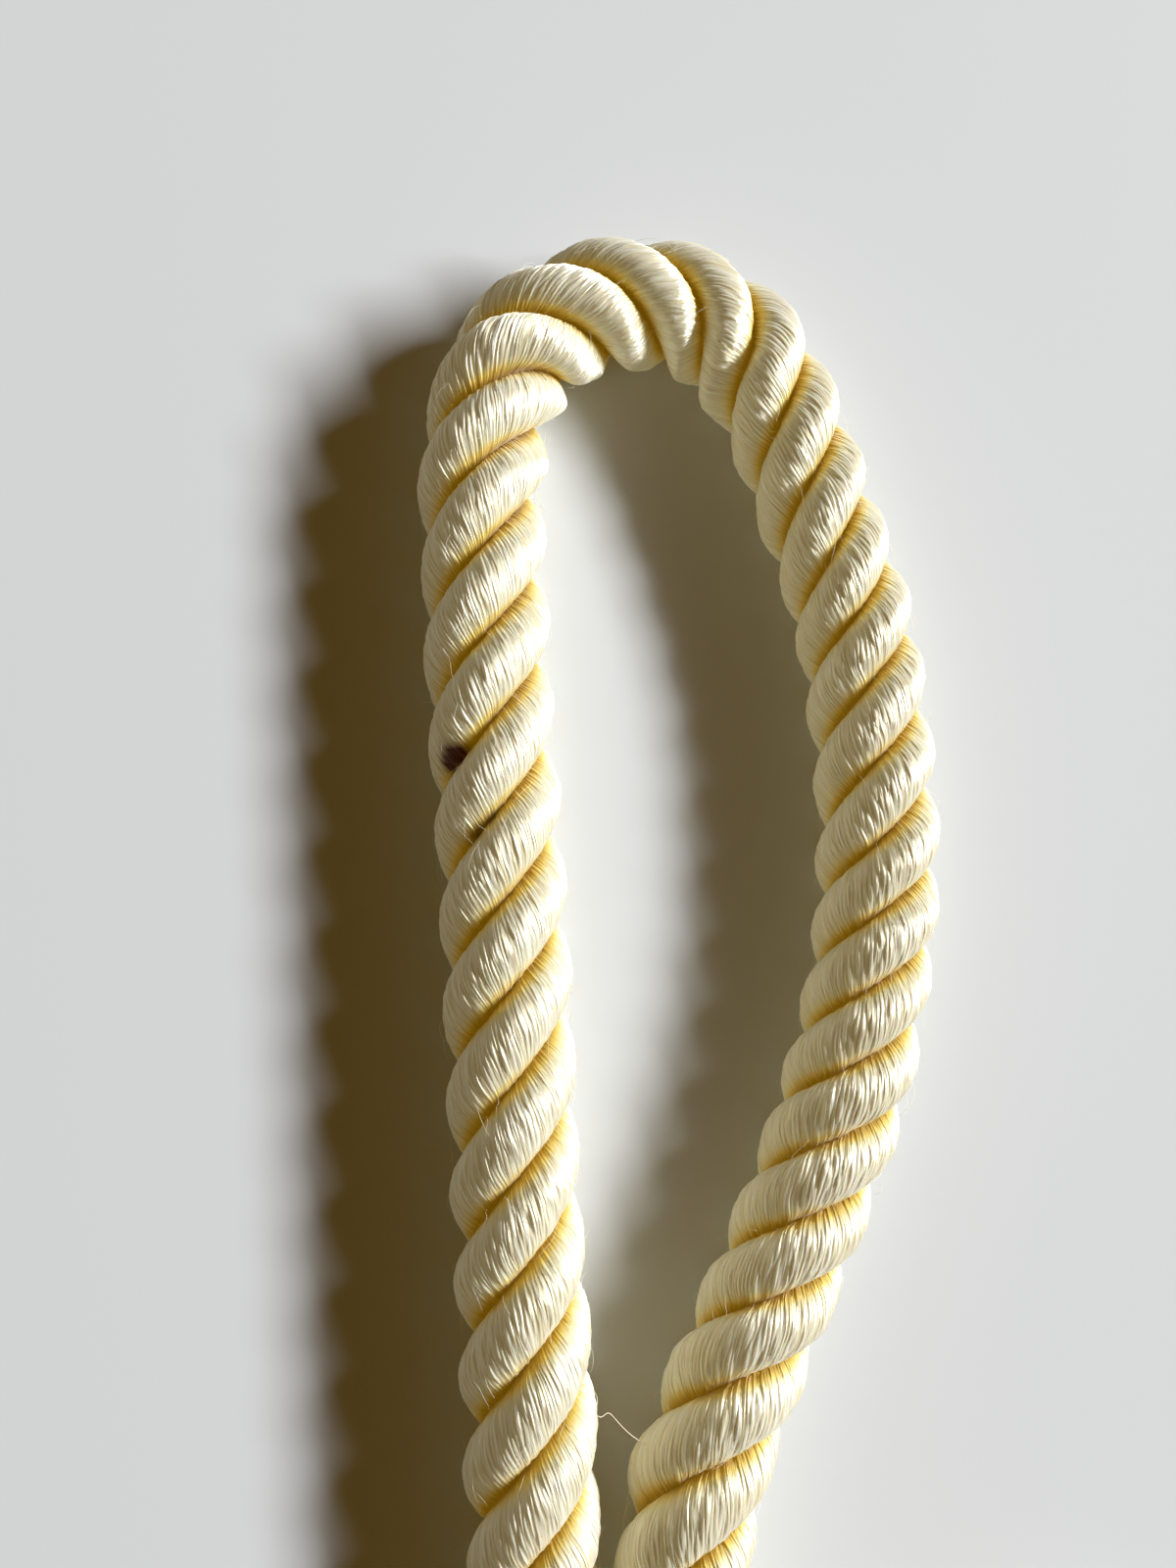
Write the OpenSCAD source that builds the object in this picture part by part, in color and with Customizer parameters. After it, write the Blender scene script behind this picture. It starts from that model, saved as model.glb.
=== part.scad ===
// A length of three-strand twisted satin cord, folded in a bight. Its two legs run side by side
// into a short hank: they swing round one fold together, come back beside themselves, and a
// tape tie holds the four runs at the hank's waist. Both cut ends are whipped.
//
// +Z is up and the cord lies on Z = 0. The bight points along +Y and the hank along -Y.
// The origin is under the middle of the whole cord. All sizes are in millimetres.

/* [Cord] */
// Diameter of the cord over its three strands
cord_d = 10; // [8:0.5:11]
// Length of the cord between its cut ends
cord_length = 1000; // [960:5:1100]
// Length in which a strand goes once round the cord
lay_length = 21; // [18:0.5:26]
// Turn of the strands about the cord's middle line, in degrees
lay_turn = 0; // [0:10:350]
// Gap between two strands where they press on each other
strand_gap = 0.1; // [0.06:0.02:0.2]
// Distance from the cord's middle line to a strand's inner edges
heart_r = 0.4; // [0.3:0.1:0.8]
// Depth to which the cord's underside is pressed flat where it lies
flat_depth = 1; // [0.6:0.1:1.4]

/* [Hank] */
// Radius of the inner leg's fold, to the cord's middle line
fold_r = 25; // [20:1:30]
// Radius of the inner leg's shoulders, where it swings out of the waist into the fold
shoulder_r = 40; // [32:1:50]
// Gap between two runs that lie side by side
run_gap = 0.5; // [0.45:0.05:1]

/* [Tie] */
// Width of the tape, along the runs
tie_w = 9; // [6:0.5:12]
// Thickness of the tape
tie_t = 0.8; // [0.5:0.1:1.2]
// Gap between the tape and the runs
tie_gap = 0.1; // [0.05:0.05:0.3]
// Length of the tape's free end, which laps over its first layer
tie_lap = 18; // [10:1:26]
// Distance from the hank's neck to the middle of the tape
tie_drop = 32; // [28:1:40]

/* [Whippings] */
// Length of a whipping, along the cord
whip_l = 10; // [6:0.5:12]
// Thickness of a whipping's thread
whip_t = 0.7; // [0.5:0.1:1]
// Gap between a whipping and the cord
whip_gap = 0.1; // [0.05:0.05:0.2]
// Length of the cut strands that stand out of a whipping
whip_back = 2; // [1:0.5:3]
// Distance from the hank's neck to the cut ends
end_drop = 5; // [3:0.5:8]

/* [Hidden] */

SATIN = [0.93, 0.89, 0.78];
THREAD = [0.97, 0.95, 0.90];
TAPE = [0.90, 0.87, 0.80];

STRANDS = 3;
// corners of a strand's section, and rings in a turn of the lay, in the hank and in the bight
SIDES = 6;
HANK_RINGS = 6;
BIGHT_RINGS = 12;
// steps between two hand-set points of the route, in an arc of the fold and in a long run
STEPS = 12;
ARC_STEPS = 4 * STEPS;
RUN_STEPS = 3 * STEPS;
ROUND = 64;
// straight length between the last run's swing and its whipping
SWING_END = 1;
// least share of a ring's spacing between the last but one ring and the cut end
LAST_GAP = 0.5;
// share of a fine ring's spacing, to either side, over which the line's direction is taken
AIM = 0.25;
// cord widths along the cord within which two stretches count as neighbours
NEAR = 3;

// heights of the cord's middle line: where it lies, under the tie and in a whipping
cord_r = cord_d / 2;
tie_r = cord_r + tie_gap + tie_t;
whip_r = cord_r + whip_gap + whip_t;
lie_z = cord_r - flat_depth;

// the four runs at the waist, from the left: outer leg, inner leg, inner leg, outer leg
pitch = cord_d + run_gap;
outer_x = 1.5 * pitch;
inner_x = 0.5 * pitch;
inner_end_x = whip_r + run_gap + cord_r - inner_x;
outer_end_x = inner_end_x + 2 * whip_r + run_gap;

// along the hank, from the neck, where the hand-set stretch of the route ends
neck_y = -60;
tie_y = neck_y - tie_drop;
end_y = neck_y - end_drop;
tie_ramp = 22;

// The bight's route from the neck's left run to its right run. Its points are chosen by hand,
// 5 to 12 mm apart, and a smooth curve goes through all of them.
BIGHT = [
    [-15.6, -49], [-15.2, -38], [-15.1, -27], [-14.9, -16], [-14.6, -5], [-14.4, 6], [-14.4, 17],
    [-14.1, 28], [-13.5, 38], [-10.6, 46], [-5, 50.4], [1, 51.8], [6.8, 50.7], [11.1, 46.7],
    [13.9, 40], [16, 32], [18, 24], [18.7, 16], [18.6, 8], [18, 0], [16.2, -8.2], [13.4, -16.4],
    [9.8, -23.6], [5.4, -31.5], [0.9, -39.1], [-3.2, -48]
];

// The lay's extra turn in degrees, at distances along the cord from the bight's first end. It is
// chosen by hand: the right leg is twisted tighter than the left one.
EXTRA_TURN = [
    [0, 14], [27, 25], [42, 36], [72, 37], [87, 31], [102, 31], [117, 26], [132, 19], [147, 28],
    [162, 67], [177, 87], [192, 118], [207, 140], [222, 167], [246, 172]
];

// ---- points, lengths and curves ----

function unit(v) = v / norm(v);
function mix(a, b, t) = a + (b - a) * t;
function ease(t) = let (u = min(1, max(0, t))) u * u * (3 - 2 * u);
function reverse(p) = [for (i = [len(p) - 1 : -1 : 0]) p[i]];

// distance from the first point to each point of p
function distances(p) = [
    for (i = 0, s = 0; i < len(p); s = s + (i + 1 < len(p) ? norm(p[i + 1] - p[i]) : 0), i = i + 1) s
];
function length_of(p) = let (s = distances(p)) s[len(s) - 1];

// the middle stretch of a Catmull-Rom spline through four points
function between(a, b, c, d, t) =
    (2 * b + (c - a) * t + (2 * a - 5 * b + 4 * c - d) * t * t + (3 * b - a - 3 * c + d) * t * t * t) / 2;

// a smooth curve through p, from its second point to its last but one
function curve_through(p) = [
    for (i = [1 : len(p) - 3]) for (k = [0 : STEPS - 1])
        between(p[i - 1], p[i], p[i + 1], p[i + 2], k / STEPS),
    p[len(p) - 2]
];

// an arc about c, from the angle a to the angle b, without its last point
function arc(c, r, a, b) = [
    for (k = [0 : ARC_STEPS - 1]) let (t = mix(a, b, k / ARC_STEPS)) c + r * [cos(t), sin(t)]
];

// ---- the hank: one fold that both legs swing round ----

// The fold's circle touches two shoulder circles, which touch the runs. For the outer leg all
// three arcs have the same centres, one pitch further out.
shoulder_x = inner_x + shoulder_r;
shoulder_h = sqrt(pow(shoulder_r + fold_r, 2) - pow(shoulder_x, 2));
shoulder_a = atan2(shoulder_h, shoulder_x);

// A leg's fold in the plane, from its left run to its right run. steps is 0 for the inner leg
// and 1 for the outer leg, and y is where the waist's straight runs end.
function fold(steps, y) = concat(
    arc([-shoulder_x, y], shoulder_r - steps * pitch, 0, -shoulder_a),
    arc([0, y - shoulder_h], fold_r + steps * pitch, 180 - shoulder_a, 360 + shoulder_a),
    arc([shoulder_x, y], shoulder_r - steps * pitch, 180 + shoulder_a, 180),
    [[steps == 0 ? inner_x : outer_x, y]]
);

// how far a run has been lifted onto the tape, from 0 where it lies to 1 at the tape
function lift(y) = 1 - ease((abs(y - tie_y) - tie_w / 2) / tie_ramp);

// a hank stretch from the neck to the cut end, with its heights
function laid(p) = [for (q = p) [q[0], q[1], mix(lie_z, tie_r, lift(q[1]))]];

// where the straight runs begin, under the tape, and end, above it
waist_y = tie_y - tie_w / 2;
swing_y = tie_y + tie_w / 2;
straight_y = end_y - whip_back - whip_l - SWING_END;

// the last run, from the tape to the cut end, which swings clear of the run beside it
function tail(x, end_x) = [
    for (k = [1 : STEPS]) let (t = k / STEPS)
        [mix(x, end_x, ease(t)), mix(swing_y, straight_y, t), mix(tie_r, whip_r, t)],
    [end_x, end_y, whip_r]
];

// one leg of the hank, from the neck to its cut end. run is the length of the straight runs
// between the tape and the fold.
function leg(steps, x, end_x, run) = concat(
    laid(concat(
        [for (k = [0 : RUN_STEPS - 1]) [-x, mix(neck_y, waist_y - run, k / RUN_STEPS)]],
        fold(steps, waist_y - run),
        [for (k = [1 : STEPS]) [x, mix(waist_y - run, swing_y, k / STEPS)]]
    )),
    tail(x, end_x)
);

// the whole route: outer leg from its cut end, bight, inner leg to its cut end
bight_line = curve_through(concat(
    [[-outer_x, neck_y - 10], [-outer_x, neck_y]],
    BIGHT,
    [[-inner_x, neck_y], [-inner_x, neck_y - 10]]
));
function route(run) = concat(
    reverse(leg(1, outer_x, outer_end_x, run)),
    [for (i = [1 : len(bight_line) - 2]) [bight_line[i][0], bight_line[i][1], lie_z]],
    leg(0, inner_x, inner_end_x, run)
);

// Four straight runs take up what the rest of the route leaves of the cord's length.
hank_run = (cord_length - length_of(route(0))) / 4;
line = route(hank_run);
stations = distances(line);
along_x = [for (i = [0 : len(line) - 1]) [stations[i], line[i][0]]];
along_y = [for (i = [0 : len(line) - 1]) [stations[i], line[i][1]]];
along_z = [for (i = [0 : len(line) - 1]) [stations[i], line[i][2]]];

// the origin is put under the middle of everything
fold_y = waist_y - hank_run - shoulder_h;
low_y = fold_y - fold_r - pitch - cord_r;
high_y = max([for (p = bight_line) p[1]]) + cord_r;
shift = [0, -(low_y + high_y) / 2, 0];

// the point of the cord's middle line at the distance s from its first end
function at(s) = [lookup(s, along_x), lookup(s, along_y), lookup(s, along_z)] + shift;

// ---- the three strands ----

// where the bight's finer rings begin and end, as whole steps of the hank's rings
hank_step = lay_length / HANK_RINGS;
bight_step = lay_length / BIGHT_RINGS;
first_leg = length_of(leg(1, outer_x, outer_end_x, hank_run));
leg_steps = floor(first_leg / hank_step);
bight_steps = ceil(length_of(bight_line) / hank_step) + 1;
last_step = floor(cord_length / hank_step - LAST_GAP);
rings = [
    for (k = [0 : leg_steps - 1]) k * hank_step,
    for (k = [0 : bight_steps * BIGHT_RINGS / HANK_RINGS - 1]) leg_steps * hank_step + k * bight_step,
    for (k = [leg_steps + bight_steps : last_step]) k * hank_step,
    cord_length
];

// A corner of a strand's section, in polar form about the cord's middle line. The section
// fills a third of the circle, and its two side corners face the neighbours at half the gap.
section_r = (cord_r + heart_r) / 2;
section_a = (cord_r - heart_r) / 2 / cos(30);
wedge = 180 / STRANDS - asin(strand_gap / 2 / section_r);
function corner(k) = let (t = 30 + k * 360 / SIDES) [section_r + section_a * cos(t), wedge * sin(t)];

// one ring of a strand at the distance s, turned by the lay and pressed flat at Z = 0
function ring(s, turn) =
    let (
        reach = AIM * bight_step,
        ahead = unit(at(min(cord_length, s + reach)) - at(max(0, s - reach))),
        up = unit([0, 0, 1] - ahead[2] * ahead),
        side = cross(up, ahead),
        middle = at(s),
        lay = turn + 360 * s / lay_length + lookup(s - first_leg, EXTRA_TURN)
    )
    [
        for (k = [0 : SIDES - 1])
            let (c = corner(k), a = lay + c[1], p = middle + c[0] * (cos(a) * side + sin(a) * up))
            [p[0], p[1], max(0, p[2])]
    ];

module strand(n) {
    points = [for (s = rings) each ring(s, lay_turn + n * 360 / STRANDS)];
    last = SIDES * (len(rings) - 1);
    // The outer walls' diagonals run against the twist, so that they bulge to the full diameter,
    // and the inner walls' run with it, so that they stay out of the neighbouring strands.
    walls = [
        for (i = [0 : len(rings) - 2]) for (k = [0 : SIDES - 1])
            let (a = i * SIDES + k, b = i * SIDES + (k + 1) % SIDES, c = a + SIDES, d = b + SIDES)
            each corner(k)[0] + corner(k + 1)[0] > 2 * section_r
                ? [[a, c, b], [b, c, d]] : [[a, d, b], [a, c, d]]
    ];
    caps = [for (k = [1 : SIDES - 2]) each [[0, k, k + 1], [last, last + k + 1, last + k]]];
    color(SATIN) polyhedron(points, concat(walls, caps), convexity = 10);
}

module strand_1() {
    strand(0);
}

module strand_2() {
    strand(1);
}

module strand_3() {
    strand(2);
}

// ---- the whippings and the tie ----

// a tight wrap of thread round the cord, just short of a cut end
module whipping(x) {
    color(THREAD) translate([x, end_y - whip_back, whip_r] + shift) rotate([90, 0, 0])
        difference() {
            cylinder(h = whip_l, r = whip_r, $fn = ROUND);
            translate([0, 0, -1]) cylinder(h = whip_l + 2, r = cord_r + whip_gap, $fn = ROUND);
        }
}

module whipping_left() {
    whipping(inner_end_x);
}

module whipping_right() {
    whipping(outer_end_x);
}

// the outline of the four runs side by side, r from their middle lines
module bundle(r) {
    translate([-outer_x, -r]) square([2 * outer_x, 2 * r]);
    for (side = [-1, 1]) translate([side * outer_x, 0]) circle(r = r, $fn = ROUND);
}

// a band of tape round the waist, with its free end lapped over the top
module hank_tie() {
    color(TAPE) translate([0, tie_y, tie_r] + shift) {
        translate([0, tie_w / 2, 0]) rotate([90, 0, 0]) linear_extrude(tie_w)
            difference() {
                bundle(tie_r);
                bundle(cord_r + tie_gap);
            }
        translate([0, 0, tie_r - tie_t / 2]) linear_extrude(1.5 * tie_t) {
            translate([-tie_lap / 2, -tie_w / 2]) square([tie_lap, tie_w]);
            translate([tie_lap / 2, 0]) circle(d = tie_w, $fn = ROUND);
        }
    }
}

// ---- what is drawn ----

// least distance between two stretches of the cord that aren't neighbours along it
samples = [for (s = [0 : hank_step : cord_length]) at(s)];
apart = ceil(NEAR * cord_d / hank_step);
least_gap = min([
    for (i = [0 : len(samples) - 1]) for (j = [i + apart : 1 : len(samples) - 1])
        norm(samples[i] - samples[j])
]) - cord_d;
echo(least_gap_between_stretches = least_gap, straight_run = hank_run, route_length = length_of(line));

strand_1();
strand_2();
strand_3();
whipping_left();
whipping_right();
hank_tie();
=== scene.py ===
import logging
import math
from dataclasses import dataclass, field
from enum import Enum

import bpy
import numpy as np
from mathutils import Matrix


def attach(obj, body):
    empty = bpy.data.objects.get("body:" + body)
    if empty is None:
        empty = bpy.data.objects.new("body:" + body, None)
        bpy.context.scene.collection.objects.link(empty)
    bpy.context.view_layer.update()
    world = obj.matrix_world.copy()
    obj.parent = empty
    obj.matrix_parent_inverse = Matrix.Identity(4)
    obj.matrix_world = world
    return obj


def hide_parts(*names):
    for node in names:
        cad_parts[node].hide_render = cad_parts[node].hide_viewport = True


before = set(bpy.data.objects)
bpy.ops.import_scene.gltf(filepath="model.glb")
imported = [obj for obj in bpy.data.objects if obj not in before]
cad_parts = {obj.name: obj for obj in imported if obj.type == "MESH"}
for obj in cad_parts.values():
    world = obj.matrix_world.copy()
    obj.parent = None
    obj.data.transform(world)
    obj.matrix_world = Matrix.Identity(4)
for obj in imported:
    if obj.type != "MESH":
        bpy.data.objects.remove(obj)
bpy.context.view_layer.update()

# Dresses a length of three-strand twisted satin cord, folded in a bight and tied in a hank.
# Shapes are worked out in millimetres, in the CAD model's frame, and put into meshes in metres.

MM = 0.001
TAU = 2 * math.pi
BODY = "root"
Array = np.ndarray
Piece = bpy.types.Object
Socket = bpy.types.NodeSocket
Pair = tuple[float, float]
Triple = tuple[float, float, float]

log = logging.getLogger("satin_cord")


class Slot(Enum):
    """The record's material slots."""

    SATIN = "satin"
    THREAD = "thread"
    TAPE = "tape"


# ---- small helpers ----


def ease(value: Array) -> Array:
    """Smooth step from 0 to 1: 3u^2 - 2u^3, with u held between 0 and 1."""
    u = np.clip(value, 0.0, 1.0)
    return u * u * (3.0 - 2.0 * u)


def unit(vectors: Array) -> Array:
    """Each vector divided by its own length."""
    return vectors / np.linalg.norm(vectors, axis=-1, keepdims=True)


def ripple(s: Array, seed: int, waves: tuple[float, ...]) -> Array:
    """A smooth random wander between about -1 and 1.

    The sum of one sine for each wavelength, with a phase drawn from the seed, over the root
    of twice their number.

    Args:
        s: Distances, in millimetres.
        seed: The seed that the phases are drawn from.
        waves: The sines' wavelengths, in millimetres.

    Returns:
        The wander at each distance.
    """
    phases = np.random.default_rng(seed).uniform(0.0, TAU, len(waves))
    total = sum(np.sin(TAU * s / wave + phase) for wave, phase in zip(waves, phases))
    return total / math.sqrt(2.0 * len(waves))


def grid_quads(rows: int, columns: int, first: int = 0, closed: bool = True) -> Array:
    """Quads of a grid whose points are numbered row by row.

    Args:
        rows: The number of rows of points.
        columns: The number of points in a row.
        first: The number of the grid's first point.
        closed: Whether the last column joins the first one.

    Returns:
        Four point numbers for each quad, from (row, column) round to (row + 1, column).
    """
    row = np.arange(rows - 1)[:, None]
    column = np.arange(columns if closed else columns - 1)[None, :]
    after = (column + 1) % columns
    corners = [row * columns + column, row * columns + after,
               (row + 1) * columns + after, (row + 1) * columns + column]
    return np.stack([c.reshape(-1) for c in np.broadcast_arrays(*corners)], axis=1) + first


def into_scene(name: str, data: bpy.types.ID) -> Piece:
    """A new object of the scene for a mesh, a lamp or a camera."""
    piece = bpy.data.objects.new(name, data)
    bpy.context.scene.collection.objects.link(piece)
    return piece


def tube_faces(rings: int, sides: int, first: int = 0) -> list[Array]:
    """The walls of a tube whose rings are numbered one after another, and its two end caps."""
    ring = np.arange(sides)
    caps = np.stack([ring[::-1], ring + sides * (rings - 1)]) + first
    return [grid_quads(rings, sides, first), caps]


def table_at(s: Array, way: Array, table: Array) -> Array:
    """The values at s of a table with one row for each distance of way."""
    return np.stack([np.interp(s, way, column) for column in table.T], axis=-1)


def blur(line: Array, weights: Array) -> Array:
    """Each point's weighted mean with its neighbours, where the line has enough of them."""
    return np.stack([np.convolve(column, weights, mode="valid") for column in line.T], axis=1)


def build(name: str, points: Array, faces: list[Array], uv: Array | None = None,
          attributes: dict[str, Array] | None = None, flat_from: int | None = None) -> Piece:
    """Puts worked-out points and faces into a new mesh piece.

    Args:
        name: The piece's name.
        points: The points, in millimetres.
        faces: Arrays of faces, each with one number of corners.
        uv: Two texture coordinates for each face corner, in the faces' order.
        attributes: A value for each point, by the attribute's name.
        flat_from: The number of the first face that is shaded flat, as end caps are.

    Returns:
        The piece's object, linked to the scene.
    """
    loops = np.concatenate([f.reshape(-1) for f in faces]).astype(np.int32)
    sizes = np.concatenate([np.full(len(f), f.shape[1], dtype=np.int32) for f in faces])
    starts = np.concatenate([[0], np.cumsum(sizes)[:-1]]).astype(np.int32)
    mesh = bpy.data.meshes.new(name)
    mesh.vertices.add(len(points))
    mesh.loops.add(len(loops))
    mesh.polygons.add(len(sizes))
    mesh.vertices.foreach_set("co", (points * MM).astype(np.float32).reshape(-1))
    mesh.loops.foreach_set("vertex_index", loops)
    mesh.polygons.foreach_set("loop_start", starts)
    smooth = np.ones(len(sizes), dtype=bool)
    if flat_from is not None:
        smooth[flat_from:] = False
    mesh.update(calc_edges=True)
    mesh.polygons.foreach_set("use_smooth", smooth)
    if uv is not None:
        layer = mesh.uv_layers.new(name="UVMap")
        layer.data.foreach_set("uv", uv.astype(np.float32).reshape(-1))
    for key, values in (attributes or {}).items():
        channel = mesh.attributes.new(name=key, type="FLOAT", domain="POINT")
        channel.data.foreach_set("value", values.astype(np.float32).reshape(-1))
    mesh.update()
    return into_scene(name, mesh)


def dress(piece: Piece, material: bpy.types.Material, slot: Slot, *nodes: str) -> Piece:
    """Gives a piece its material and its body, and hides the CAD parts that it stands for."""
    piece.data.materials.append(material)
    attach(piece, BODY)
    if nodes:
        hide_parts(*nodes)
    log.info("%s: %d points, %d faces", piece.name, len(piece.data.vertices),
             len(piece.data.polygons))
    return piece


# ---- the cord's route ----


@dataclass
class Route:
    """The cord's middle line, point for point as in the CAD source, in millimetres."""

    cord_d: float = 10.0
    cord_length: float = 1000.0
    flat_depth: float = 1.0
    fold_r: float = 25.0
    shoulder_r: float = 40.0
    run_gap: float = 0.5
    tie_w: float = 9.0
    tie_t: float = 0.8
    tie_gap: float = 0.1
    tie_drop: float = 32.0
    tie_ramp: float = 22.0
    whip_l: float = 10.0
    whip_t: float = 0.7
    whip_gap: float = 0.1
    whip_back: float = 2.0
    end_drop: float = 5.0
    neck_y: float = -60.0
    steps: int = 12
    bight: tuple[Pair, ...] = (
        (-15.6, -49), (-15.2, -38), (-15.1, -27), (-14.9, -16), (-14.6, -5), (-14.4, 6),
        (-14.4, 17), (-14.1, 28), (-13.5, 38), (-10.6, 46), (-5, 50.4), (1, 51.8), (6.8, 50.7),
        (11.1, 46.7), (13.9, 40), (16, 32), (18, 24), (18.7, 16), (18.6, 8), (18, 0),
        (16.2, -8.2), (13.4, -16.4), (9.8, -23.6), (5.4, -31.5), (0.9, -39.1), (-3.2, -48))
    # spacing of the smoothed line's samples, and the width over which its corners are smoothed
    spacing: float = 0.25
    smoothing: float = 0.7
    # length over which the hank turns into the bight, and the bight's tightest radius
    turn_over: float = 10.0
    tightest: float = 14.0
    points: Array = field(init=False)
    shift_y: float = field(init=False)

    def __post_init__(self) -> None:
        """Works out the points, the straight runs' length and the smooth line's frames."""
        self.cord_r = self.cord_d / 2
        self.tie_r = self.cord_r + self.tie_gap + self.tie_t
        self.whip_r = self.cord_r + self.whip_gap + self.whip_t
        self.lie_z = self.cord_r - self.flat_depth
        self.pitch = self.cord_d + self.run_gap
        self.outer_x, self.inner_x = 1.5 * self.pitch, 0.5 * self.pitch
        self.inner_end_x = self.whip_r + self.run_gap + self.cord_r - self.inner_x
        self.outer_end_x = self.inner_end_x + 2 * self.whip_r + self.run_gap
        self.tie_y = self.neck_y - self.tie_drop
        self.end_y = self.neck_y - self.end_drop
        self.waist_y = self.tie_y - self.tie_w / 2
        self.swing_y = self.tie_y + self.tie_w / 2
        self.straight_y = self.end_y - self.whip_back - self.whip_l - 1
        self.shoulder_x = self.inner_x + self.shoulder_r
        self.shoulder_h = math.sqrt((self.shoulder_r + self.fold_r) ** 2 - self.shoulder_x ** 2)
        self.shoulder_a = math.atan2(self.shoulder_h, self.shoulder_x)
        self.bight_line = self._bight_line()
        run = (self.cord_length - self.length_of(self._route(0.0))) / 4
        points = self._route(run)
        fold_y = self.waist_y - run - self.shoulder_h
        low_y = fold_y - self.fold_r - self.pitch - self.cord_r
        high_y = self.bight_line[:, 1].max() + self.cord_r
        self.shift_y = -(low_y + high_y) / 2
        self.points = points + [0.0, self.shift_y, 0.0]
        self.first_leg = self.length_of(self._leg(1, self.outer_x, self.outer_end_x, run))
        self.bight_length = self.length_of(self.bight_line)
        self._smooth()

    @staticmethod
    def length_of(points: Array) -> float:
        """The length of the polyline through the points."""
        return float(np.linalg.norm(np.diff(points, axis=0), axis=1).sum())

    def _bight_line(self) -> Array:
        """Catmull-Rom curve through the listed points, from the neck to the neck.

        Between b and c it is half of 2b + (c - a)t + (2a - 5b + 4c - d)t^2
        + (3b - a - 3c + d)t^3, with a and d the points before and after.
        """
        neck, outer, inner = self.neck_y, self.outer_x, self.inner_x
        p = np.array([(-outer, neck - 10), (-outer, neck), *self.bight, (-inner, neck),
                      (-inner, neck - 10)], dtype=float)
        a, b, c, d = p[:-3, None], p[1:-2, None], p[2:-1, None], p[3:, None]
        t = (np.arange(self.steps) / self.steps)[None, :, None]
        curve = (2 * b + (c - a) * t + (2 * a - 5 * b + 4 * c - d) * t ** 2
                 + (3 * b - a - 3 * c + d) * t ** 3) / 2
        return np.vstack([curve.reshape(-1, 2), p[-2]])

    def _arc(self, x: float, y: float, r: float, start: float, end: float) -> Array:
        """Points of an arc about (x, y), without its last point: c + r (cos a, sin a)."""
        a = start + (end - start) * np.arange(4 * self.steps) / (4 * self.steps)
        return np.stack([x + r * np.cos(a), y + r * np.sin(a)], axis=1)

    def _fold(self, steps: int, y: float) -> Array:
        """A leg's fold: out round a shoulder, back round the fold's circle, in to the waist.

        It lies so many steps outside the inner leg's fold, and starts at y.
        """
        out, bend, a = self.pitch * steps, self.fold_r + self.pitch * steps, self.shoulder_a
        shoulder = self.shoulder_r - out
        end = [[self.outer_x if steps else self.inner_x, y]]
        return np.vstack([self._arc(-self.shoulder_x, y, shoulder, 0.0, -a),
                          self._arc(0.0, y - self.shoulder_h, bend, math.pi - a, TAU + a),
                          self._arc(self.shoulder_x, y, shoulder, math.pi + a, math.pi), end])

    def _leg(self, steps: int, x: float, end_x: float, run: float) -> Array:
        """One leg of the hank with its heights, from the neck to its cut end.

        The steps are 0 for the inner leg and 1 for the outer one. Its runs lie at x from the
        middle, are as long as run, and its cut end lies at end_x.
        """
        n, low = self.steps, self.waist_y - run
        down = self.neck_y + (low - self.neck_y) * np.arange(3 * n) / (3 * n)
        up = low + (self.swing_y - low) * np.arange(1, n + 1) / n
        flat = np.vstack([np.stack([np.full(3 * n, -x), down], axis=1), self._fold(steps, low),
                          np.stack([np.full(n, x), up], axis=1)])
        lift = 1 - ease((np.abs(flat[:, 1] - self.tie_y) - self.tie_w / 2) / self.tie_ramp)
        laid = np.column_stack([flat, self.lie_z + (self.tie_r - self.lie_z) * lift])
        t = np.arange(1, n + 1) / n
        tail = np.column_stack([x + (end_x - x) * ease(t),
                                self.swing_y + (self.straight_y - self.swing_y) * t,
                                self.tie_r + (self.whip_r - self.tie_r) * t])
        return np.vstack([laid, tail, [end_x, self.end_y, self.whip_r]])

    def _route(self, run: float) -> Array:
        """The whole route: outer leg from its cut end, bight, inner leg to its cut end."""
        middle = self.bight_line[1:-1]
        middle = np.column_stack([middle, np.full(len(middle), self.lie_z)])
        return np.vstack([self._leg(1, self.outer_x, self.outer_end_x, run)[::-1], middle,
                          self._leg(0, self.inner_x, self.inner_end_x, run)])

    def _smooth(self) -> None:
        """Samples the route evenly, rounds its corners and frames every sample.

        Each sample is the Gaussian mean of its neighbours along the line. The frame is the
        line's direction, the nearest direction to up that is square to it, and their side.
        """
        gaps = np.linalg.norm(np.diff(self.points, axis=0), axis=1)
        stations = np.concatenate([[0.0], np.cumsum(gaps)])
        reach = int(4 * self.smoothing / self.spacing)
        self.s = np.arange(-reach, int(self.cord_length / self.spacing) + reach + 1) * self.spacing
        line = table_at(self.s, stations, self.points)
        first, last = self.points[0] - self.points[1], self.points[-1] - self.points[-2]
        before, after = np.minimum(self.s, 0.0), np.maximum(self.s - stations[-1], 0.0)
        line += -before[:, None] * unit(first) + after[:, None] * unit(last)
        weights = np.exp(-0.5 * (np.arange(-reach, reach + 1) * self.spacing / self.smoothing) ** 2)
        weights /= weights.sum()
        line = self.middle = blur(line, weights)
        self.s = self.s[reach:-reach]
        self.ahead = unit(np.gradient(line, axis=0))
        self.curve = np.linalg.norm(np.gradient(self.ahead, self.spacing, axis=0), axis=1)
        self.up = unit(np.array([0.0, 0.0, 1.0]) - self.ahead[:, 2:] * self.ahead)
        self.side = np.cross(self.up, self.ahead)

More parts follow.
